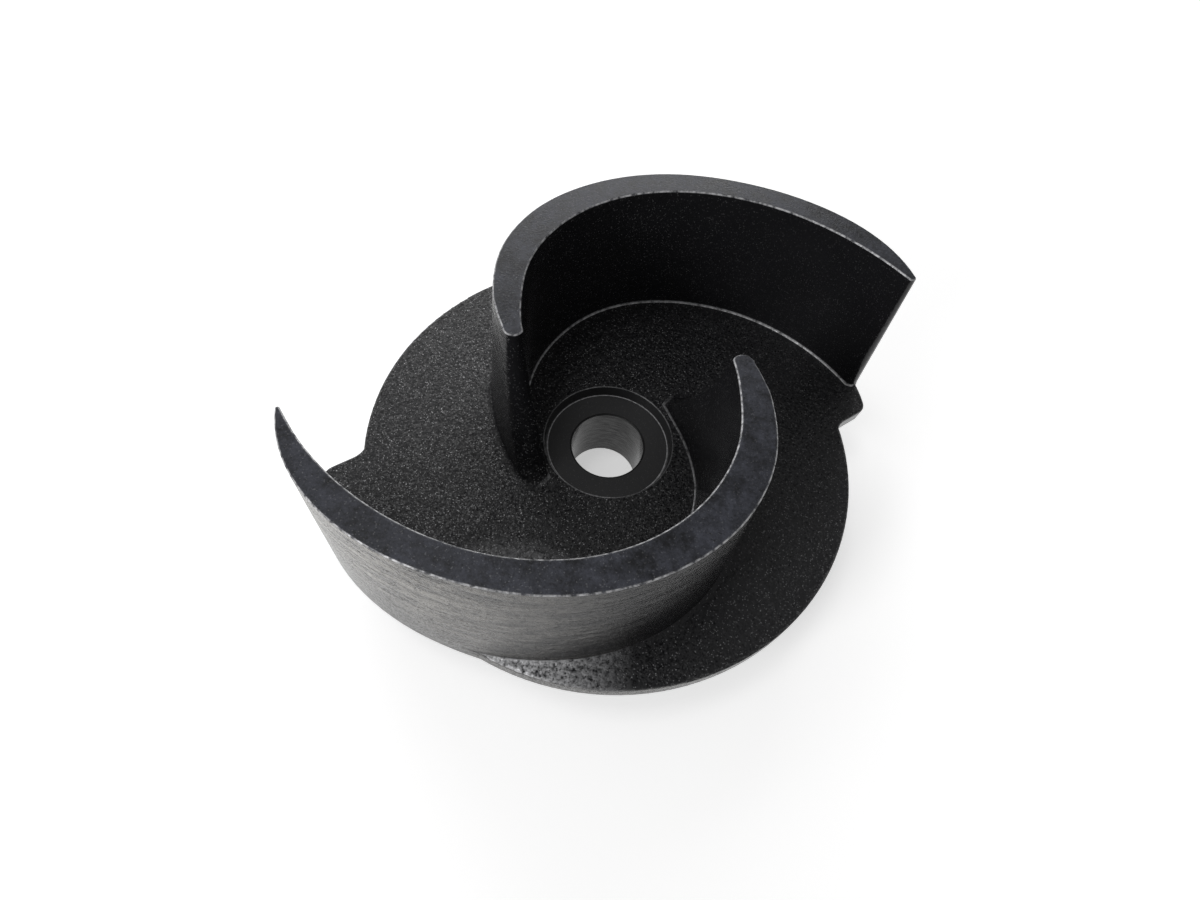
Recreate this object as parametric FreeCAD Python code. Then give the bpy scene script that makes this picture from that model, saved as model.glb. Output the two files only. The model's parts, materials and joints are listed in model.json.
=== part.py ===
import FreeCAD, Part
import math
import os

# Two-vane semi-open pump impeller, one iron casting.
# Origin: on the shaft axis, in the plane of the machined back face of the hub.
# +Z runs along the shaft towards the suction side, where the two vanes stand up.
# Angles are counter-clockwise seen from the suction side; the vanes wind outwards
# clockwise, and each vane is the other one turned half a turn.

# Shaft bore and the seat for the washer under the shaft bolt
bore_d = 20.0
bore_len = 19.0
bore_edge = 0.3
seat_d = 33.6
seat_depth = 2.8
seat_flare = 0.7
cut_past = 1.0

# Plate (back shroud)
plate_d = 131.4
plate_t = 5.0
rim_round = 0.9
rim_bevel = 0.5
rim_draft = 0.45

# Hub on the back of the plate
hub_d = 46.0
hub_draft = 1.5
hub_root = 3.0
hub_edge = 1.0

# Vanes
vane_count = 2
vane_h = 39.6
vane_t = 10.0
tip_d = 145.0
eye_land = 2.5
vane_wrap = 199.0
end_trim = (-2.1, 0.8)
nose_trim = (0.9, -1.7)
nose_angle = 47.0
nose_sweep = 44.5
sweep_curve = 1.8
nose_skew = 5.0
nose_bulge_top = 0.8
nose_bulge_root = 0.35
tail_bulge = 0.9
blade_foot = 0.7
root_h = 1.2
root_inner = 0.5
root_outer = 1.4
root_steps = 3
root_fade = (140.0, 152.0)
wall_levels = (0.14, 0.32, 0.53, 0.76)
edge_break = 0.25
sweep_end = 60.0
swept_points = 4
fixed_points = 10
end_points = 5

# Lip of the plate past the outer end of each vane, with degrees counted on from there
lip_over = 3.05
lip_back = 8.4
lip_trim = (-0.4, 0.8)
step_lean = 22.2
lip_round = 3.5
hollow_round = 6.0
lip_share = 0.4
hollow_share = 0.62
bevel_share = 0.18
round_share = 0.3
lobe_inset = 0.6
lobe_sink = 4.6
lobe_depth = 8.0
lobe_steps = 6
ridge_stride = 1.0
shore_run = 12.0
shore_sink = 1.5
level_gap = 0.01

# Blade plan. Each row: degrees back from the root of the nose, then where the inner
# wall stands at the root and at the top (0 at the eye, 1 at the tip circle), and how
# thick the blade is there along the radius, at the root and at the top, in shares of
# the nominal thickness.
blade_rows = (
    (0.0, 0.000, 0.000, 0.60, 0.30),
    (19.0, -0.008, -0.004, 0.77, 0.32),
    (43.0, 0.032, 0.047, 0.92, 0.44),
    (67.0, 0.125, 0.127, 1.14, 0.79),
    (97.0, 0.293, 0.306, 1.27, 0.90),
    (127.0, 0.518, 0.499, 1.00, 0.76),
    (157.0, 0.726, 0.680, 0.82, 0.67),
    (182.0, 0.908, 0.842, 0.64, 0.66),
    (192.0, 0.965, 0.920, 0.64, 0.43),
    (200.0, 1.022, 0.974, 0.36, 0.13),
)

# Derived sizes
plate_top = bore_len + seat_depth
plate_bottom = plate_top - plate_t
plate_r = plate_d / 2
hub_top = plate_bottom + plate_t / 2
eye_r = seat_d / 2 + seat_flare + eye_land
tip_r = tip_d / 2
lip_r = tip_r + lip_over
lip_step = lip_r - plate_r
step_run = lip_step * math.tan(math.radians(step_lean))
step_back = math.degrees(step_run / plate_r)


def smooth_value(x, column):
    """Value of one column of the blade plan at x degrees, as a smooth curve
    through the rows (cubic pieces whose slopes follow the neighbouring rows)."""
    rows = blade_rows
    last = len(rows) - 1
    k = 0
    while k < last - 1 and x > rows[k + 1][0]:
        k += 1

    def slope(i):
        a = max(i - 1, 0)
        b = min(i + 1, last)
        return (rows[b][column] - rows[a][column]) / (rows[b][0] - rows[a][0])

    span = rows[k + 1][0] - rows[k][0]
    t = (x - rows[k][0]) / span
    h00 = 2 * t ** 3 - 3 * t ** 2 + 1
    h10 = t ** 3 - 2 * t ** 2 + t
    h01 = -2 * t ** 3 + 3 * t ** 2
    h11 = t ** 3 - t ** 2
    start = h00 * rows[k][column] + h10 * span * slope(k)
    end = h01 * rows[k + 1][column] + h11 * span * slope(k + 1)
    return start + end


def wall_radii(back, level):
    """Inner and outer radius of the blade, back degrees from the root of the nose,
    at a level that runs from 0 at the plate to 1 at the top face."""
    reach = tip_r - eye_r
    root_in = eye_r + reach * smooth_value(back, 1)
    top_in = eye_r + reach * smooth_value(back, 2)
    root_out = root_in + vane_t * smooth_value(back, 3)
    top_out = top_in + vane_t * smooth_value(back, 4)
    inner = root_in + (top_in - root_in) * level
    outer = root_out + (top_out - root_out) * level
    return inner, outer


def polar(radius, degrees, z):
    a = math.radians(degrees)
    return FreeCAD.Vector(radius * math.cos(a), radius * math.sin(a), z)


def spline(points, marks=None):
    """Smooth curve through points. Marks are its parameters at the points, evenly
    spaced if not given, so that like curves are divided alike."""
    if marks is None:
        marks = [float(i) for i in range(len(points))]
    curve = Part.BSplineCurve()
    curve.interpolate(Points=points, Parameters=marks)
    return curve.toShape()


def end_arc(a, b, outward, bulge):
    """Rounded end between points a and b that stands out by bulge times half the gap."""
    mid = (a + b) * 0.5
    half = (b - a).Length / 2
    push = FreeCAD.Vector(outward).normalize() * (half * bulge)
    arc = Part.Arc(a, mid + push, b).toShape()
    return spline(arc.discretize(Number=end_points))


def wall_marks(first, last):
    """Degrees back of the points along a wall: those at the nose move with its sweep,
    the others stand one above another at every level."""
    swept = [first + (sweep_end - first) * i / swept_points for i in range(swept_points)]
    rest = [sweep_end + (last - sweep_end) * i / fixed_points for i in range(fixed_points + 1)]
    return swept + rest


def blade_walls(level, trims):
    """Points along the inner and the outer wall at one level, nose end first, for the
    vane whose nose is at nose_angle. Trims shorten the nose and the outer end by so
    many degrees at the top face."""
    nose_cut, end_cut = trims
    z = plate_top + vane_h * level
    clipped = max(level, 0.0)
    first = (nose_sweep + nose_cut) * (1 - (1 - clipped) ** sweep_curve)
    skew = nose_skew * (1 - clipped)
    last = vane_wrap - end_cut * clipped
    inner = []
    outer = []
    for back in wall_marks(first, last):
        inner.append(polar(wall_radii(back, level)[0], nose_angle - back, z))
    for back in wall_marks(first + skew, last):
        outer.append(polar(wall_radii(back, level)[1], nose_angle - back, z))
    return inner, outer


def fade(back):
    """How much of the outer root fillet is left, back degrees from the nose: it runs
    out before the blade leaves the round plate."""
    start, end = root_fade
    t = (back - start) / (end - start)
    t = min(max(t, 0.0), 1.0)
    return 1 - t * t * (3 - 2 * t)


def widened(points, side, amounts):
    """The same points moved sideways, away from the middle of the blade. Side is 1
    where that is to the left of their course and -1 where it is to the right. A first
    point that moves out is also carried forward past the nose by as much."""
    moved = []
    last = len(points) - 1
    for i, point in enumerate(points):
        course = points[min(i + 1, last)] - points[max(i - 1, 0)]
        course.normalize()
        shift = FreeCAD.Vector(-course.y, course.x, 0) * (side * amounts[i])
        if i == 0:
            shift = shift - course * max(amounts[i], 0.0)
        moved.append(point + shift)
    return moved


def outline(inner, outer, level):
    """Closed wire along both walls, with rounded nose and tail."""
    clipped = max(level, 0.0)
    nose_dir = (inner[0] + outer[0] - inner[1] - outer[1])
    tail_dir = (inner[-1] + outer[-1] - inner[-2] - outer[-2])
    nose_bulge = nose_bulge_root + (nose_bulge_top - nose_bulge_root) * clipped
    marks = wall_marks(nose_sweep / 2, vane_wrap)
    edges = [
        spline(inner, marks),
        end_arc(inner[-1], outer[-1], tail_dir, tail_bulge),
        spline(outer[::-1], [vane_wrap - mark for mark in marks[::-1]]),
        end_arc(outer[0], inner[0], nose_dir, nose_bulge),
    ]
    return Part.Wire(edges)


def section(height, trims, flare=0.0, inset=0.0):
    """Outline of the blade at a height over the front of the plate, widened by a
    fraction of the root fillet or drawn in by the break of the top edges."""
    level = height / vane_h
    inner, outer = blade_walls(level, trims)
    backs = wall_marks(0, vane_wrap)
    inner_out = [root_inner * flare - inset for back in backs]
    outer_out = [root_outer * flare * fade(back) - inset for back in backs]
    return outline(widened(inner, -1, inner_out), widened(outer, 1, outer_out), level)


def skin(sections):
    return Part.makeLoft(sections, True, True)


def blade(trims):
    """One vane in three storeys that share their outlines: the base inside and beside
    the plate, the root fillet, and the wall up to the flat top face with its broken
    edges. The nose sweeps back as the wall rises."""
    base = skin([section(z, trims, flare=1) for z in (blade_foot - plate_t, 0.0)])
    steps = [math.pi / 2 * k / root_steps for k in range(root_steps + 1)]
    foot = skin([
        section(root_h * (1 - math.cos(a)), trims, flare=1 - math.sin(a)) for a in steps
    ])
    heights = [root_h] + [vane_h * level for level in wall_levels] + [vane_h - edge_break]
    wall = skin([section(z, trims) for z in heights] + [section(vane_h, trims, inset=edge_break)])
    return base.multiFuse([foot, wall])


def turned(shape, degrees):
    copy = shape.copy()
    copy.rotate(FreeCAD.Vector(0, 0, 0), FreeCAD.Vector(0, 0, 1), degrees)
    return copy


def vane_turns():
    return [360.0 * k / vane_count for k in range(vane_count)]


def ridge_radius(back):
    """Radius of the lobe's edge under the blade, back degrees from the nose."""
    return wall_radii(back, 0.0)[1] - lobe_inset


def lobe_place(radius, past):
    """Point in the plane of the plate's back, past degrees beyond the end of the vane."""
    return polar(radius, nose_angle - vane_wrap - past, plate_bottom)


def inland(place):
    """The place moved towards the shaft, well inside the round plate."""
    away = FreeCAD.Vector(place.x, place.y, 0).normalize()
    return place - away * lobe_depth


def ridge(lip_past):
    """Edge of the lobe under the middle of the blade and past its end to the lip."""
    start = 0.0
    while ridge_radius(vane_wrap + start) > plate_r - lobe_sink:
        start -= ridge_stride
    marks = [start * (1 - i / lobe_steps) for i in range(lobe_steps + 1)]
    points = [lobe_place(ridge_radius(vane_wrap + past), past) for past in marks]
    return spline(points + [lobe_place(lip_r, lip_past)], marks + [lip_past])


def upright_edge(body, place):
    """The upright edge of the body nearest to a place."""
    upright = [edge for edge in body.Edges if edge.BoundBox.ZLength > plate_t / 2]
    return min(upright, key=lambda edge: math.hypot(
        edge.BoundBox.Center.x - place.x, edge.BoundBox.Center.y - place.y))


def rim_edges(body, z):
    """Edges of the plate that lie flat at one height, near its rim."""
    rim = []
    for edge in body.Edges:
        flat = edge.BoundBox.ZLength < level_gap and abs(edge.BoundBox.Center.z - z) < level_gap
        middle = edge.valueAt((edge.FirstParameter + edge.LastParameter) / 2)
        if flat and math.hypot(middle.x, middle.y) > plate_r - lobe_sink:
            rim.append(edge)
    return rim


def rim_broken(body, bevel, rounding):
    """The body with its rim bevelled at the back and rounded in front."""
    body = body.makeChamfer(bevel, rim_edges(body, plate_bottom))
    return body.makeFillet(rounding, rim_edges(body, plate_top))


def lobe(lip_cut):
    """Piece of the plate that carries the outer end of one vane: from the lip it steps
    back to the round plate and dips into it. The lip is shortened by so many degrees."""
    edge = ridge(lip_back - lip_cut)
    start, lip = [vertex.Point for vertex in edge.Vertexes]
    step_past = lip_back - lip_cut + step_back
    step = lobe_place(plate_r, step_past)
    shore = lobe_place(plate_r - shore_sink, step_past + shore_run)
    border = Part.makePolygon([lip, step, shore, inland(shore), inland(start), start])
    face = Part.Face(Part.Wire([edge] + border.Edges))
    body = face.extrude(FreeCAD.Vector(0, 0, plate_t))
    tip_round = min(lip_round, lip_step * lip_share)
    step_round = min(hollow_round, lip_step * hollow_share)
    body = body.makeFillet(tip_round, [upright_edge(body, lip)])
    body = body.makeFillet(step_round, [upright_edge(body, step)])
    bevel = min(rim_bevel, lip_step * bevel_share)
    return rim_broken(body, bevel, min(rim_round, lip_step * round_share))


def plate():
    """Round plate with a lip under the end of each vane."""
    base = polar(0, 0, plate_bottom)
    disc = Part.makeCone(plate_r + rim_draft, plate_r, plate_t, base)
    body = rim_broken(disc, rim_bevel, rim_round)
    for turn, lip_cut in zip(vane_turns(), lip_trim):
        body = body.fuse(turned(lobe(lip_cut), turn))
    return body.removeSplitter()


def revolved(edges):
    """Solid turned round the shaft axis from a closed chain of edges in the XZ plane."""
    face = Part.Face(Part.Wire(edges))
    return face.revolve(FreeCAD.Vector(0, 0, 0), FreeCAD.Vector(0, 0, 1), 360)


def lines(*places):
    """Straight edges from place to place, each a radius and a height."""
    return Part.makePolygon([FreeCAD.Vector(r, 0, z) for r, z in places]).Edges


def hub():
    """Hub behind the plate: machined end with its edge bevelled, a wall tapered for
    drawing from the mould, and a flare where it runs into the plate."""
    hub_r = hub_d / 2
    lean = math.tan(math.radians(hub_draft))
    wall_end = plate_bottom - hub_root
    return revolved(lines(
        (0, 0), (hub_r - hub_edge, 0), (hub_r + hub_edge * lean, hub_edge),
        (hub_r + wall_end * lean, wall_end), (hub_r + wall_end * lean + hub_root, plate_bottom),
        (hub_r, hub_top), (0, hub_top), (0, 0),
    ))


def shaft_bore():
    """Bore, its washer seat and the small bevels of the machining."""
    half = bore_d / 2
    floor_r = seat_d / 2
    mouth_r = floor_r + seat_flare
    return revolved(lines(
        (0, -cut_past), (half + bore_edge + cut_past, -cut_past), (half, bore_edge),
        (half, bore_len - bore_edge), (half + bore_edge, bore_len), (floor_r, bore_len),
        (mouth_r, plate_top), (mouth_r, plate_top + cut_past), (0, plate_top + cut_past),
        (0, -cut_past),
    ))


def main():
    os.makedirs("parts", exist_ok=True)
    body = plate().fuse(hub())
    for turn, nose_cut, end_cut in zip(vane_turns(), nose_trim, end_trim):
        body = body.fuse(turned(blade((nose_cut, end_cut)), turn))
    body = body.removeSplitter().cut(shaft_bore())
    body.exportStep("parts/impeller.step")


main()
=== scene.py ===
import functools
import json
import math
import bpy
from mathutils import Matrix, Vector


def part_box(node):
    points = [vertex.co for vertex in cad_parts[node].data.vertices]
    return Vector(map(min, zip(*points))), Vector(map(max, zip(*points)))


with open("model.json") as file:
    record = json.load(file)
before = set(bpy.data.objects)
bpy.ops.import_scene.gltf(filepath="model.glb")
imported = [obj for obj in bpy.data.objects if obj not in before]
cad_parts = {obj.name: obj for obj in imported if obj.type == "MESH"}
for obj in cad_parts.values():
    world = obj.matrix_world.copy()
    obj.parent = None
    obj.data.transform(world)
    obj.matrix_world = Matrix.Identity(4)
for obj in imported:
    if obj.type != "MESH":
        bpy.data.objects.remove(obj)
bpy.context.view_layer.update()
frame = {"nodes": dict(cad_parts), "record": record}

from types import SimpleNamespace

import bpy
from mathutils import Matrix, Vector

MM = 0.001
CASTING = frame["nodes"]["impeller"]

# Heights and radii of the casting in millimetres, from the frame where it has them. The
# washer seat's own depth and radii and the vanes' foot are those of the part's source.
VANE_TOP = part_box("impeller")[1].z / MM
MOUNTS = {mount["name"]: mount for mount in frame["record"]["mounts"]}
SEAT_FLOOR = MOUNTS["washer_seat"]["pos_m"][2] / MM
BORE_R = MOUNTS["shaft_bore"]["dims"]["r_mm"]
SEAT_DEPTH = 2.8
SEAT_FLOOR_R = 16.8
SEAT_MOUTH_R = 17.5
PLATE_TOP = SEAT_FLOOR + SEAT_DEPTH
ROOT_H = 1.2

# Node kinds that the casting's material uses often
MATH = "ShaderNodeMath"
VECTOR = "ShaderNodeVectorMath"
RANGE = "ShaderNodeMapRange"
NOISE = "ShaderNodeTexNoise"
CELLS = "ShaderNodeTexVoronoi"
PARTS = "ShaderNodeSeparateXYZ"
SPLIT = "ShaderNodeSeparateColor"
MIX = "ShaderNodeMix"
# Sockets of the Mix node: its share, its two numbers and its two colours
SHARE, FROM, TO, UNDER, OVER = 0, 2, 3, 6, 7
COLOURS = {"out": 2, "data_type": "RGBA"}


def node(tree, kind, sockets=(), out=0, **settings):
    """Adds a node with its settings, gives each socket its value or its link, by name,
    by number or in their order, and hands back the output asked for."""
    new = tree.nodes.new(kind)
    for name, value in settings.items():
        setattr(new, name, value)
    given = sockets if isinstance(sockets, dict) else dict(enumerate(sockets))
    for socket, value in given.items():
        if isinstance(value, bpy.types.NodeSocket):
            tree.links.new(value, new.inputs[socket])
        else:
            new.inputs[socket].default_value = value
    return new.outputs[out] if len(new.outputs) else new


def linear(hex_colour):
    """sRGB hex to linear RGBA: each channel c becomes ((c + 0.055) / 1.055) ** 2.4, or
    c / 12.92 where it is dark."""
    channels = [int(hex_colour[i:i + 2], 16) / 255 for i in (1, 3, 5)]
    return [((c + 0.055) / 1.055) ** 2.4 if c > 0.04045 else c / 12.92 for c in channels] + [1.0]


def empty_material(name):
    """A material without nodes, and the function that adds nodes to it."""
    material = bpy.data.materials.new(name)
    material.use_nodes = True
    material.node_tree.nodes.clear()
    return material, functools.partial(node, material.node_tree)


# Smooth shading of the casting: the gap that is welded in millimetres, the sharpest edge
# that is still smooth, the cosine past which a face is level, and the mean of the two
# faces at a level face's border, which is a half, give or take BORDER_REACH
WELD_GAP = 0.002
SHARP_DEGREES = 30.0
LEVEL_COSINE = 0.99999
BORDER_MEAN = 0.5
BORDER_REACH = 0.4


def weld_and_smooth(piece):
    """Modifier that joins the loose triangles and rounds the shading over every edge
    flatter than SHARP_DEGREES, but keeps the level faces flat up to their borders. A
    border is an edge between a level face, which counts as 1, and another, as 0."""
    group = bpy.data.node_groups.new("weld_and_smooth", "GeometryNodeTree")
    group.interface.new_socket("Mesh", in_out="INPUT", socket_type="NodeSocketGeometry")
    group.interface.new_socket("Mesh", in_out="OUTPUT", socket_type="NodeSocketGeometry")
    add = functools.partial(node, group)
    loose = add("NodeGroupInput")
    weld = add("GeometryNodeMergeByDistance", {"Geometry": loose, "Distance": WELD_GAP * MM})
    plain = add("GeometryNodeRemoveAttribute", {"Geometry": weld, "Name": "custom_normal"})
    soft = add("GeometryNodeSetShadeSmooth", {"Geometry": plain, "Shade Smooth": True}, domain="FACE")
    facing = add(PARTS, (add("GeometryNodeInputNormal"),), out=2)
    upright = add(MATH, (facing,), operation="ABSOLUTE")
    level = add(MATH, (upright, LEVEL_COSINE), operation="GREATER_THAN")
    sides = add("GeometryNodeFieldOnDomain", {"Value": level}, domain="FACE", data_type="FLOAT")
    border = add("FunctionNodeCompare", {"A": sides, "B": BORDER_MEAN, "Epsilon": BORDER_REACH},
                 data_type="FLOAT", operation="EQUAL")
    bend = add("FunctionNodeCompare", {"A": add("GeometryNodeInputMeshEdgeAngle"),
               "B": math.radians(SHARP_DEGREES)}, data_type="FLOAT", operation="GREATER_THAN")
    sharp = add("FunctionNodeBooleanMath", (border, bend), operation="OR")
    crease = add("GeometryNodeSetShadeSmooth", {"Geometry": soft, "Selection": sharp,
                 "Shade Smooth": False}, domain="EDGE")
    add("NodeGroupOutput", (crease,))
    piece.modifiers.new("weld_and_smooth", "NODES").node_group = group


def places(add):
    """Where on the casting: the place in millimetres, how far across, how high and how far
    from the shaft it is, how level the surface is there, and how far it looks outwards."""
    mm = add(VECTOR, (add("ShaderNodeTexCoord", out="Object"), (1 / MM,) * 3), operation="MULTIPLY")
    plan = add(VECTOR, (mm, (1.0, 1.0, 0.0)), operation="MULTIPLY")
    outwards = add(VECTOR, (plan,), operation="NORMALIZE")
    normal = add("ShaderNodeTexCoord", out="Normal")
    return SimpleNamespace(
        mm=mm,
        across=add(PARTS, (mm,), out=0),
        height=add(PARTS, (mm,), out=2),
        radius=add(VECTOR, (plan,), out=1, operation="LENGTH"),
        facing=add(MATH, (add(PARTS, (normal,), out=2),), operation="ABSOLUTE"),
        away=add(VECTOR, (normal, outwards), out=1, operation="DOT_PRODUCT"),
    )


# Zones of the casting. Here and below, a span says where a ramp starts and where it is
# full, and then its two strengths if they aren't 0 and 1. Heights and radii are
# millimetres, and how level or how far away a face looks is a cosine.
TOP_SPAN = (VANE_TOP - 0.35, VANE_TOP - 0.25)
BORE_SPAN = (BORE_R + 0.12, BORE_R + 0.06)
SEAT_SPAN = (SEAT_MOUTH_R + 0.05, SEAT_MOUTH_R - 0.05)
SEAT_HEIGHT_SPAN = (SEAT_FLOOR - 0.5, SEAT_FLOOR - 0.3)
WALL_SPAN = (0.55, 0.3)
OUTER_SPAN = (0.45, 0.8)
# Over this span of radius the pale flanks grow outwards, a painted sheen
BURNISHED_SHEEN_SPAN = (54.0, 67.0, 0.04, 1.0)
WALL_GRAIN_SPAN = (0.0, 1.0, 0.12, 0.6)


def zones(add, at):
    """The ground tops, the machined bore and seat, the walls, the outer flanks and the part of them that
    is burnished, which grows outwards as a painted sheen, and how rough the sand has left each face."""
    top = add(RANGE, (at.height, *TOP_SPAN))
    bore = add(RANGE, (at.radius, *BORE_SPAN))
    wall = add(RANGE, (at.facing, *WALL_SPAN))
    outer = add(MATH, (wall, add(RANGE, (at.away, *OUTER_SPAN))), operation="MULTIPLY")
    above_back = add(RANGE, (at.height, *SEAT_HEIGHT_SPAN))
    seat = add(MATH, (add(RANGE, (at.radius, *SEAT_SPAN)), above_back), operation="MULTIPLY")
    machined = add(MATH, (bore, seat), operation="MAXIMUM")
    smooth = add(MATH, (machined, top), operation="MAXIMUM")
    sandy = add(MATH, (1.0, smooth), operation="SUBTRACT")
    burnished_sheen = add(MATH, (outer, add(RANGE, (at.radius, *BURNISHED_SHEEN_SPAN))), operation="MULTIPLY")
    wall_grain = add(RANGE, (burnished_sheen, *WALL_GRAIN_SPAN))
    grain = add(MIX, {SHARE: wall, FROM: 1.0, TO: wall_grain})
    rough = add(MATH, (sandy, grain), operation="MULTIPLY")
    return SimpleNamespace(top=top, bore=bore, wall=wall, outer=outer, above_back=above_back, seat=seat,
                           machined=machined, smooth=smooth, sandy=sandy, burnished_sheen=burnished_sheen, rough=rough)


# Pattern sizes in millimetres. Moulding sand is 0.1 to 0.3 mm and a turning or brushing
# line is finer still, too fine to show, so SAND_GRAIN, SPARK, TOP_GRAIN, TURNING_PITCH and
# BRUSH_HIGH are drawn about two to five times as coarse as they are.
SAND_GRAIN = 0.40
SAND_CLUMP = 1.1
SPARK = 0.22
TOP_GRAIN = 0.5
TOP_CLOUD = 5.0
FLECK = 0.55
STREAK_HIGH = 1.8
STREAK_LONG = 9.0
STAIN = 14.0
CHIP = 1.2
TURNING_PITCH = 0.5
BRUSH_LONG = 3.0
BRUSH_HIGH = 0.35


def patterns(add, at):
    """Sand grains and clumps, stains, chips, streaks drawn along the flanks, cloudy grinding
    of the tops, turning rings of the seat and brushing round the bore."""
    mm = at.mm
    grain = add(CELLS, {"Vector": mm, "Scale": 1 / SAND_GRAIN}, out="Color")
    spark = add(CELLS, {"Vector": mm, "Scale": 1 / SPARK}, out="Color")
    drawn = add(VECTOR, (mm, (1 / STREAK_LONG, 1 / STREAK_LONG, 1 / STREAK_HIGH)), operation="MULTIPLY")
    around = add(VECTOR, (mm, (1 / BRUSH_LONG, 1 / BRUSH_LONG, 1 / BRUSH_HIGH)), operation="MULTIPLY")
    turns = add(MATH, (at.radius, 2 * math.pi / TURNING_PITCH), operation="MULTIPLY")
    return SimpleNamespace(
        grain=grain,
        glint=add(SPLIT, (grain,), out=0),
        steep=add(SPLIT, (grain,), out=1),
        spark=add(SPLIT, (spark,), out=2),
        clump=add(NOISE, {"Vector": mm, "Scale": 1 / SAND_CLUMP, "Detail": 3.0, "Roughness": 0.6}),
        stain=add(NOISE, {"Vector": mm, "Scale": 1 / STAIN, "Detail": 3.0}),
        chip=add(NOISE, {"Vector": mm, "Scale": 1 / CHIP, "Detail": 3.0, "Roughness": 0.6}),
        cloud=add(NOISE, {"Vector": mm, "Scale": 1 / TOP_CLOUD, "Detail": 7.0, "Roughness": 0.8}),
        speck=add(NOISE, {"Vector": mm, "Scale": 1 / TOP_GRAIN, "Detail": 2.0}),
        fleck=add(NOISE, {"Vector": mm, "Scale": 1 / FLECK, "Detail": 4.0, "Roughness": 0.75}),
        streak=add(NOISE, {"Vector": drawn, "Scale": 1.0, "Detail": 5.0, "Roughness": 0.65}),
        brush=add(NOISE, {"Vector": around, "Scale": 1.0, "Detail": 3.0}),
        ring=add(MATH, (turns,), operation="SINE"),
    )


# Tilt of the sand grains: the least, what the steepest add, and the share left on smooth faces
LEAST_TILT = 0.26
STEEPEST_TILT = 0.9
FEW_STEEP = 3.0
SMOOTH_SHARE = 0.04
# Depth of each relief and width of the rounded edges, in millimetres
CLUMP_DEPTH = 0.38
STREAK_DEPTH = 0.35
RING_DEPTH = 0.003
BRUSH_DEPTH = 0.03
SPECK_DEPTH = 0.06
EDGE_ROUND = 0.25
BEVEL_SAMPLES = 6


def sand_facets(add, zone, pattern):
    """Every grain is a facet with its own tilt, few of them steep, so that single ones
    glint."""
    tilt = add(VECTOR, (pattern.grain, (0.5,) * 3), operation="SUBTRACT")
    steep = add(MATH, (pattern.steep, FEW_STEEP), operation="POWER")
    steep = add(MATH, (steep, STEEPEST_TILT, LEAST_TILT), operation="MULTIPLY_ADD")
    lean = add(MATH, (zone.rough, 1.0 - SMOOTH_SHARE, SMOOTH_SHARE), operation="MULTIPLY_ADD")
    lean = add(MATH, (lean, steep), operation="MULTIPLY")
    return add(VECTOR, {0: tilt, "Scale": lean}, operation="SCALE")


def relief(add, zone, pattern):
    """Normal of the skin: rounded edges, then the relief of each zone, then the facets."""
    normal = add("ShaderNodeBevel", {"Radius": EDGE_ROUND * MM}, samples=BEVEL_SAMPLES)
    drawn = add(MATH, (zone.outer, zone.sandy), operation="MULTIPLY")
    for share, depth, height in ((zone.rough, CLUMP_DEPTH, pattern.clump),
                                 (drawn, STREAK_DEPTH, pattern.streak),
                                 (zone.seat, RING_DEPTH, pattern.ring),
                                 (zone.bore, BRUSH_DEPTH, pattern.brush),
                                 (zone.top, SPECK_DEPTH, pattern.speck)):
        normal = add("ShaderNodeBump", {"Strength": share, "Distance": depth * MM, "Height": height,
                     "Normal": normal})
    leaning = add(VECTOR, (normal, sand_facets(add, zone, pattern)), operation="ADD")
    return add(VECTOR, (leaning,), operation="NORMALIZE")


# Grains rubbed bare, which also stand in for painted glints: about one cell in seventeen, and each span's
# last two values say how strong they show across the plate, where they thin out towards +x like painted
# glints, on the walls and on the smooth faces
SPARK_SPAN = (0.94, 1.0)
GLINTS_ACROSS_SPAN = (0.0, 36.0, 0.62, 0.25)
SPARKS_WALL_SPAN = (0.0, 1.0, 1.0, 0.3)
SPARKS_SMOOTH_SPAN = (0.0, 1.0, 1.0, 0.2)


def bare_grains_and_glints(add, at, zone, pattern):
    """Single grains rubbed bare and painted pale as glints, thinning out towards +x across the plate,
    fainter on the walls and on the machined faces.
    """
    share = add(RANGE, (at.across, *GLINTS_ACROSS_SPAN))
    share = add(MATH, (share, add(RANGE, (zone.wall, *SPARKS_WALL_SPAN))), operation="MULTIPLY")
    share = add(MATH, (share, add(RANGE, (zone.smooth, *SPARKS_SMOOTH_SPAN))), operation="MULTIPLY")
    return add(MATH, (add(RANGE, (pattern.spark, *SPARK_SPAN)), share), operation="MULTIPLY")


# Chipped edges: how far the wear reaches in millimetres, how far the edge turns the surface,
# and where the chips leave it whole
EDGE_WEAR = 0.7
EDGE_TURN_SPAN = (0.96, 0.86, 0.0, 0.4)
CHIP_SPAN = (0.32, 0.54)
NEAR_TOP_SPAN = (VANE_TOP - 0.8, VANE_TOP - 0.4, 0.05, 1.0)
BREAK_HEIGHT_SPAN = (VANE_TOP - 0.34, VANE_TOP - 0.26)
BREAK_LEAN_SPAN = (0.97, 0.9)
BREAK_CHIP_SPAN = (0.36, 0.6, 0.08, 1.0)


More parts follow.
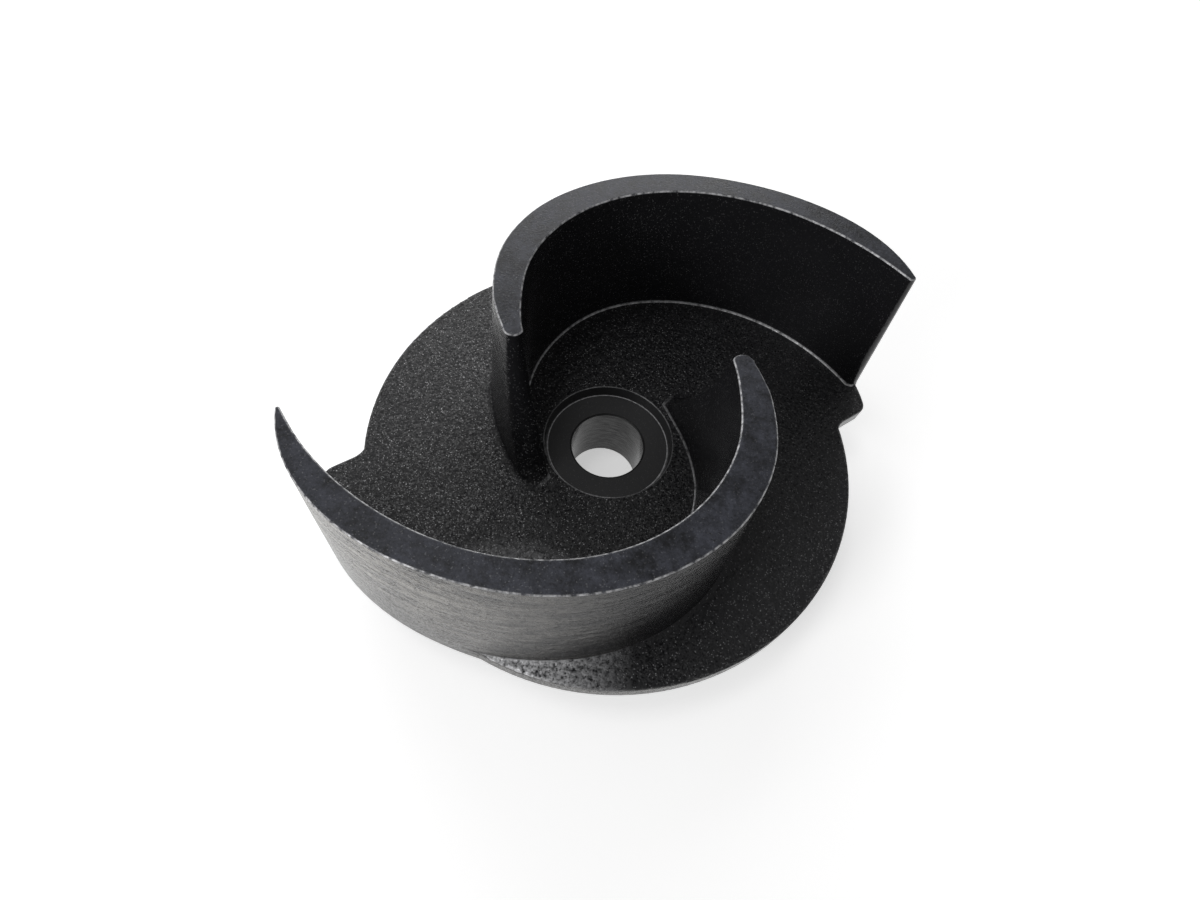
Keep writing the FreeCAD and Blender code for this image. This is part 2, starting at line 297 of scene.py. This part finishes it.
def chipped_edges(add, at, zone, pattern):
    """Edges worn bare in spots, most near the vane tops, and the narrow broken edge of the
    tops themselves, brighter where the chips are."""
    broad = add("ShaderNodeBevel", {"Radius": EDGE_WEAR * MM}, samples=BEVEL_SAMPLES)
    flat = add("ShaderNodeNewGeometry", out="True Normal")
    turn = add(VECTOR, (broad, flat), out=1, operation="DOT_PRODUCT")
    rubbed = add(MATH, (add(RANGE, (turn, *EDGE_TURN_SPAN)), add(RANGE, (pattern.chip, *CHIP_SPAN))),
                 operation="MULTIPLY")
    cast = add(MATH, (1.0, zone.machined), operation="SUBTRACT")
    near_top = add(MATH, (add(RANGE, (at.height, *NEAR_TOP_SPAN)), cast), operation="MULTIPLY")
    worn = add(MATH, (rubbed, near_top), operation="MULTIPLY")
    leaning = add(RANGE, (at.facing, *BREAK_LEAN_SPAN))
    broken = add(MATH, (add(RANGE, (at.height, *BREAK_HEIGHT_SPAN)), leaning), operation="MULTIPLY")
    broken = add(MATH, (broken, add(RANGE, (pattern.chip, *BREAK_CHIP_SPAN))), operation="MULTIPLY")
    return add(MATH, (worn, broken), operation="MAXIMUM")


# Painted highlight: a bare-iron line at the foot of the inner flanks, where the root fillet catches the
# light, fainter at the noses
FOOT_TOP_SPAN = (PLATE_TOP + 0.6 * ROOT_H, PLATE_TOP + 0.3 * ROOT_H)
FOOT_LOW_SPAN = (PLATE_TOP + 0.01, PLATE_TOP + 0.04)
INWARDS_SPAN = (0.1, -0.1)
PAST_NOSE_SPAN = (22.0, 27.0, 0.35, 1.0)
FOOT_CHIP_SPAN = (0.32, 0.56, 0.2, 1.0)


def painted_foot_highlight(add, at, pattern):
    """Painted highlight: a thin bare-iron line where the inner flank of a vane meets the plate, broken in
    spots.
    """
    low = add(RANGE, (at.height, *FOOT_TOP_SPAN))
    raised = add(RANGE, (at.height, *FOOT_LOW_SPAN))
    inner = add(MATH, (add(RANGE, (at.away, *INWARDS_SPAN)), add(RANGE, (at.radius, *PAST_NOSE_SPAN))),
                operation="MULTIPLY")
    line = add(MATH, (add(MATH, (low, raised), operation="MULTIPLY"), inner), operation="MULTIPLY")
    return add(MATH, (line, add(RANGE, (pattern.chip, *FOOT_CHIP_SPAN))), operation="MULTIPLY")


# Rings at the seat, a turned edge at the mouth and a painted highlight at the corner: half of a ring's
# width in millimetres, and how broken each ring is
RING_HALF = 0.16
LEVEL_SPAN = (0.6, 0.9)
MOUTH_STAIN_SPAN = (0.4, 0.6, 0.15, 0.5)
CORNER_CHIP_SPAN = (0.3, 0.6, 0.3, 0.9)


def mouth_ring_and_corner_highlight(add, at, zone, pattern):
    """A thin bare ring at the mouth of the washer seat, and a painted highlight as a thin bare ring at its
    concave corner.
    """
    mouth = add(MATH, (at.radius, SEAT_MOUTH_R + RING_HALF, RING_HALF), operation="COMPARE")
    mouth = add(MATH, (mouth, add(RANGE, (pattern.stain, *MOUTH_STAIN_SPAN))), operation="MULTIPLY")
    corner_highlight = add(MATH, (at.radius, SEAT_FLOOR_R - RING_HALF, RING_HALF), operation="COMPARE")
    corner_highlight = add(MATH, (corner_highlight, add(RANGE, (pattern.chip, *CORNER_CHIP_SPAN))), operation="MULTIPLY")
    rings = add(MATH, (mouth, corner_highlight), operation="MAXIMUM")
    rings = add(MATH, (rings, add(RANGE, (at.facing, *LEVEL_SPAN))), operation="MULTIPLY")
    return add(MATH, (rings, zone.above_back), operation="MULTIPLY")


# Place beside the plate's rim where a highlight is painted in bare iron, and how far it reaches, in
# millimetres
RIM_HIGHLIGHT_PLACE = (-14.0, -62.5, 22.0)
RIM_HIGHLIGHT_SPAN = (30.0, 6.0)
RIM_HIGHLIGHT_CLUMP_SPAN = (0.32, 0.55)
OFF_WALLS_SPAN = (0.0, 1.0, 1.0, 0.0)


def painted_rim_highlight(add, at, zone, pattern):
    """Painted highlight: a patch of the plate beside its rim, painted bare iron on the high clumps of
    sand.
    """
    near = add(RANGE, (add(VECTOR, (at.mm, RIM_HIGHLIGHT_PLACE), out=1, operation="DISTANCE"), *RIM_HIGHLIGHT_SPAN))
    highlight_patch = add(MATH, (near, add(RANGE, (pattern.clump, *RIM_HIGHLIGHT_CLUMP_SPAN))), operation="MULTIPLY")
    return add(MATH, (highlight_patch, add(RANGE, (zone.wall, *OFF_WALLS_SPAN))), operation="MULTIPLY")


# Burnished streaks of the outer flanks: bare metal by streak, holes by clump, and a painted sheen that is
# fainter near the plate
WORN_STREAK_SPAN = (0.38, 0.60, 0.2, 0.9)
WORN_HOLES_SPAN = (0.36, 0.46, 0.3, 1.0)
SHEEN_HEIGHT_SPAN = (PLATE_TOP, VANE_TOP - 12.0, 0.35, 1.0)


def worn_flanks_and_sheen(add, at, zone, pattern):
    """Pale outer flanks: bare metal in streaks with black holes left in it, and a painted sheen that grows
    outwards and upwards.
    """
    worn = add(RANGE, (pattern.streak, *WORN_STREAK_SPAN))
    worn = add(MATH, (worn, add(RANGE, (pattern.clump, *WORN_HOLES_SPAN))), operation="MULTIPLY")
    worn = add(MATH, (worn, add(RANGE, (at.height, *SHEEN_HEIGHT_SPAN))), operation="MULTIPLY")
    flank_sheen = add(MATH, (zone.burnished_sheen, worn), operation="MULTIPLY")
    return add(MATH, (flank_sheen, zone.sandy), operation="MULTIPLY")


# Colours of the iron, with the shares of flecks and pits on the tops
BLACK_SKIN = ("#161618", "#222224")
SATIN_TOP = ("#101115", "#3a3c45")
TOP_FLECK = "#6e7077"
TOP_PIT = "#0c0c0e"
TURNED_SEAT = "#39393a"
# Pale flank colour: burnished iron, and a painted sheen
FLANK_WEAR_AND_SHEEN = "#9a9792"
BRUSHED_BORE = ("#343434", "#5c5c5c")
BORE_MOUTH = "#101011"
# Bare iron, also the colour of the painted highlights and glints
BARE_IRON_AND_HIGHLIGHT = "#c8c8ca"
CLOUD_SPAN = (0.38, 0.62)
FLECK_SPAN = (0.56, 0.74, 0.0, 0.22)
PIT_SPAN = (0.44, 0.34, 0.0, 0.8)
BRUSH_SPAN = (0.35, 0.65)


def iron_colour(add, at, zone, pattern, flank_sheen, bare_and_highlight):
    """Black skin, bluish satin tops with flecks and pits, grey seat, pale burnished flanks that are partly
    a painted sheen, brushed bore with a dark mouth, and bare iron over all of them, which also paints
    highlights and glints."""
    skin = add(MIX, {SHARE: pattern.stain, UNDER: linear(BLACK_SKIN[0]), OVER: linear(BLACK_SKIN[1])},
               **COLOURS)
    satin = add(MIX, {SHARE: add(RANGE, (pattern.cloud, *CLOUD_SPAN)), UNDER: linear(SATIN_TOP[0]),
                OVER: linear(SATIN_TOP[1])}, **COLOURS)
    brushed = add(MIX, {SHARE: add(RANGE, (pattern.brush, *BRUSH_SPAN)), UNDER: linear(BRUSHED_BORE[0]),
                  OVER: linear(BRUSHED_BORE[1])}, **COLOURS)
    mouth = add(MATH, (at.radius, BORE_R + 2 * RING_HALF, RING_HALF), operation="COMPARE")
    for share, over in ((add(RANGE, (pattern.fleck, *FLECK_SPAN)), linear(TOP_FLECK)),
                        (add(RANGE, (pattern.fleck, *PIT_SPAN)), linear(TOP_PIT))):
        satin = add(MIX, {SHARE: share, UNDER: satin, OVER: over}, **COLOURS)
    colour = skin
    for share, over in ((zone.top, satin), (zone.seat, linear(TURNED_SEAT)),
                        (flank_sheen, linear(FLANK_WEAR_AND_SHEEN)), (zone.bore, brushed),
                        (mouth, linear(BORE_MOUTH)), (bare_and_highlight, linear(BARE_IRON_AND_HIGHLIGHT))):
        colour = add(MIX, {SHARE: share, UNDER: colour, OVER: over}, **COLOURS)
    return colour


# Roughness of each skin by its pattern, and how metallic the bare and the bored iron look
PLATE_GLOSS_SPAN = (0.0, 1.0, 0.28, 0.54)
TOP_GLOSS_SPAN = (0.3, 0.7, 0.34, 0.52)
WALL_GLOSS_SPAN = (0.0, 1.0, 0.14, 0.24)
FLANK_GLOSS_SPAN = (0.35, 0.65, 0.42, 0.26)
BARE_METAL = 0.3
BORE_METAL = 0.7
SPECULAR = 0.36


def iron_roughness(add, zone, pattern, flank_sheen):
    """Roughness: grainy on the plate, cloudy on the tops, glossy black on the walls, and
    by the streaks where the flanks are burnished."""
    plate = add(RANGE, (pattern.glint, *PLATE_GLOSS_SPAN))
    top = add(RANGE, (pattern.cloud, *TOP_GLOSS_SPAN))
    wall = add(RANGE, (pattern.glint, *WALL_GLOSS_SPAN))
    drawn = add(RANGE, (pattern.streak, *FLANK_GLOSS_SPAN))
    wall = add(MIX, {SHARE: flank_sheen, FROM: wall, TO: drawn})
    rough = add(MIX, {SHARE: zone.smooth, FROM: plate, TO: top})
    return add(MIX, {SHARE: zone.wall, FROM: rough, TO: wall})


def cast_iron():
    """Grey iron cast in sand and tumbled black: the mould's sand leaves grains that glint one by one, the
    outer flanks of the vanes are burnished in streaks with a painted sheen, the ground tops are satin and
    bluish with bare edges, and the seat and the bore are machined smooth. Pale bare-iron colour also
    paints highlights at the foot of the inner flanks, beside the rim and at the seat's corner, and paints
    glints on single grains."""
    material, add = empty_material("grey_cast_iron")
    at = places(add)
    zone = zones(add, at)
    pattern = patterns(add, at)
    # Flank streaks: worn iron, and a painted sheen
    flank_sheen = worn_flanks_and_sheen(add, at, zone, pattern)
    bare_and_highlight = bare_grains_and_glints(add, at, zone, pattern)
    # Bare marks: worn edges, and painted highlights at the flank feet, beside the rim and at the seat's
    # corner
    for mark in (chipped_edges(add, at, zone, pattern), painted_foot_highlight(add, at, pattern),
                 painted_rim_highlight(add, at, zone, pattern), mouth_ring_and_corner_highlight(add, at, zone, pattern)):
        bare_and_highlight = add(MATH, (bare_and_highlight, mark), operation="MAXIMUM")
    metal = add(MATH, (add(MATH, (bare_and_highlight, BARE_METAL), operation="MULTIPLY"),
                add(MATH, (zone.bore, BORE_METAL), operation="MULTIPLY")), operation="MAXIMUM")
    shader = add("ShaderNodeBsdfPrincipled", {
        "Base Color": iron_colour(add, at, zone, pattern, flank_sheen, bare_and_highlight),
        "Roughness": iron_roughness(add, zone, pattern, flank_sheen),
        "Normal": relief(add, zone, pattern),
        "Metallic": add(MATH, (metal, flank_sheen), operation="MAXIMUM"),
        "Specular IOR Level": SPECULAR})
    add("ShaderNodeOutputMaterial", {"Surface": shader})
    return material


# Stage: floor in metres, its paper's white and glow, and the light from all sides
FLOOR_HALF = 3.0
PAPER = 0.90
PAPER_GLOW = 0.47
AMBIENT = 0.33
# Lamps: degrees round the shaft, degrees up, size in metres and radiance
LAMPS = {
    "back": (108.0, 26.0, (1.2, 0.40), 3.9),
    "above": (180.0, 72.0, (0.26, 0.26), 5.0),
    "front": (226.0, 26.0, (0.36, 0.36), 10.0),
}
LAMP_AWAY = 1.0
AIM = Vector((0.0, 0.0, 0.03))


def white_paper():
    """Matt white paper. It glows a little to the camera and in reflections, so it stays
    white round the casting's shadow."""
    material, add = empty_material("white_paper")
    paper = add("ShaderNodeBsdfDiffuse", {"Color": (PAPER, PAPER, PAPER, 1.0)})
    seen = add(MATH, (add("ShaderNodeLightPath", out="Is Camera Ray"),
                      add("ShaderNodeLightPath", out="Is Glossy Ray")), operation="MAXIMUM")
    strength = add(MATH, (seen, PAPER_GLOW), operation="MULTIPLY")
    glow = add("ShaderNodeEmission", {"Strength": strength})
    add("ShaderNodeOutputMaterial", {"Surface": add("ShaderNodeAddShader", (paper, glow))})
    return material


def floor():
    """Square floor of paper under the casting."""
    mesh = bpy.data.meshes.new("floor")
    h = FLOOR_HALF
    mesh.from_pydata([(-h, -h, 0), (h, -h, 0), (h, h, 0), (-h, h, 0)], [], [(0, 1, 2, 3)])
    mesh.materials.append(white_paper())
    piece = bpy.data.objects.new("floor", mesh)
    bpy.context.scene.collection.objects.link(piece)


def lamp(name, azimuth, elevation, size, radiance):
    """Soft box aimed at the casting. Its power is radiance times pi times its area."""
    round_by, up_by = math.radians(azimuth), math.radians(elevation)
    level = Vector((math.cos(round_by), math.sin(round_by), 0.0)) * math.cos(up_by)
    place = (level + Vector((0.0, 0.0, math.sin(up_by)))) * LAMP_AWAY
    data = bpy.data.lights.new(name, "AREA")
    data.shape = "RECTANGLE"
    data.size, data.size_y = size
    data.energy = radiance * math.pi * size[0] * size[1]
    piece = bpy.data.objects.new(name, data)
    bpy.context.scene.collection.objects.link(piece)
    piece.location = place
    piece.rotation_euler = (AIM - place).to_track_quat("-Z", "Y").to_euler()


def lights():
    """Three soft boxes, and a plain even light from all sides."""
    for name, settings in LAMPS.items():
        lamp(name, *settings)
    world = bpy.data.worlds.new("studio")
    bpy.context.scene.world = world
    world.use_nodes = True
    world.node_tree.nodes.clear()
    add = functools.partial(node, world.node_tree)
    add("ShaderNodeOutputWorld", {"Surface": add("ShaderNodeBackground", {"Strength": AMBIENT})})


# Camera of the photograph, solved from the half-turn symmetry of the casting: its place in
# millimetres, its turns in degrees, its focus and centre in the pixels of the picture
CAMERA_PLACE = (0.0, -86.24, 160.08)
CAMERA_YAW = -6.275
CAMERA_PITCH = 63.55
CAMERA_ROLL = -5.249
CAMERA_FOCUS_PX = 592.5
CAMERA_CENTRE_PX = (569.07, 491.61)
FRAME_PX = (1200, 900)
SENSOR_WIDTH = 36.0
CLIP_START = 0.005


def camera():
    """Camera that looks along its yaw and down by its pitch, and is rolled about that line.
    Its shift moves the centre of the lens to its place in the picture."""
    data = bpy.data.cameras.new("camera")
    piece = bpy.data.objects.new("camera", data)
    bpy.context.scene.collection.objects.link(piece)
    yaw, pitch, roll = (math.radians(a) for a in (CAMERA_YAW, CAMERA_PITCH, CAMERA_ROLL))
    ahead = Vector((math.sin(yaw) * math.cos(pitch), math.cos(yaw) * math.cos(pitch), -math.sin(pitch)))
    right = Vector((math.cos(yaw), -math.sin(yaw), 0.0))
    down = ahead.cross(right)
    across = math.cos(roll) * right + math.sin(roll) * down
    up = math.sin(roll) * right - math.cos(roll) * down
    turn = Matrix((across, up, -ahead)).transposed()
    piece.matrix_world = Matrix.Translation(Vector(CAMERA_PLACE) * MM) @ turn.to_4x4()
    width, height = FRAME_PX
    data.sensor_width = SENSOR_WIDTH
    data.lens = CAMERA_FOCUS_PX * SENSOR_WIDTH / width
    data.shift_x = (width / 2 - CAMERA_CENTRE_PX[0]) / width
    data.shift_y = (CAMERA_CENTRE_PX[1] - height / 2) / width
    data.clip_start = CLIP_START
    bpy.context.scene.camera = piece


CASTING.data.materials.clear()
CASTING.data.materials.append(cast_iron())
weld_and_smooth(CASTING)
floor()
lights()
camera()
bpy.context.scene.view_settings.view_transform = "Standard"
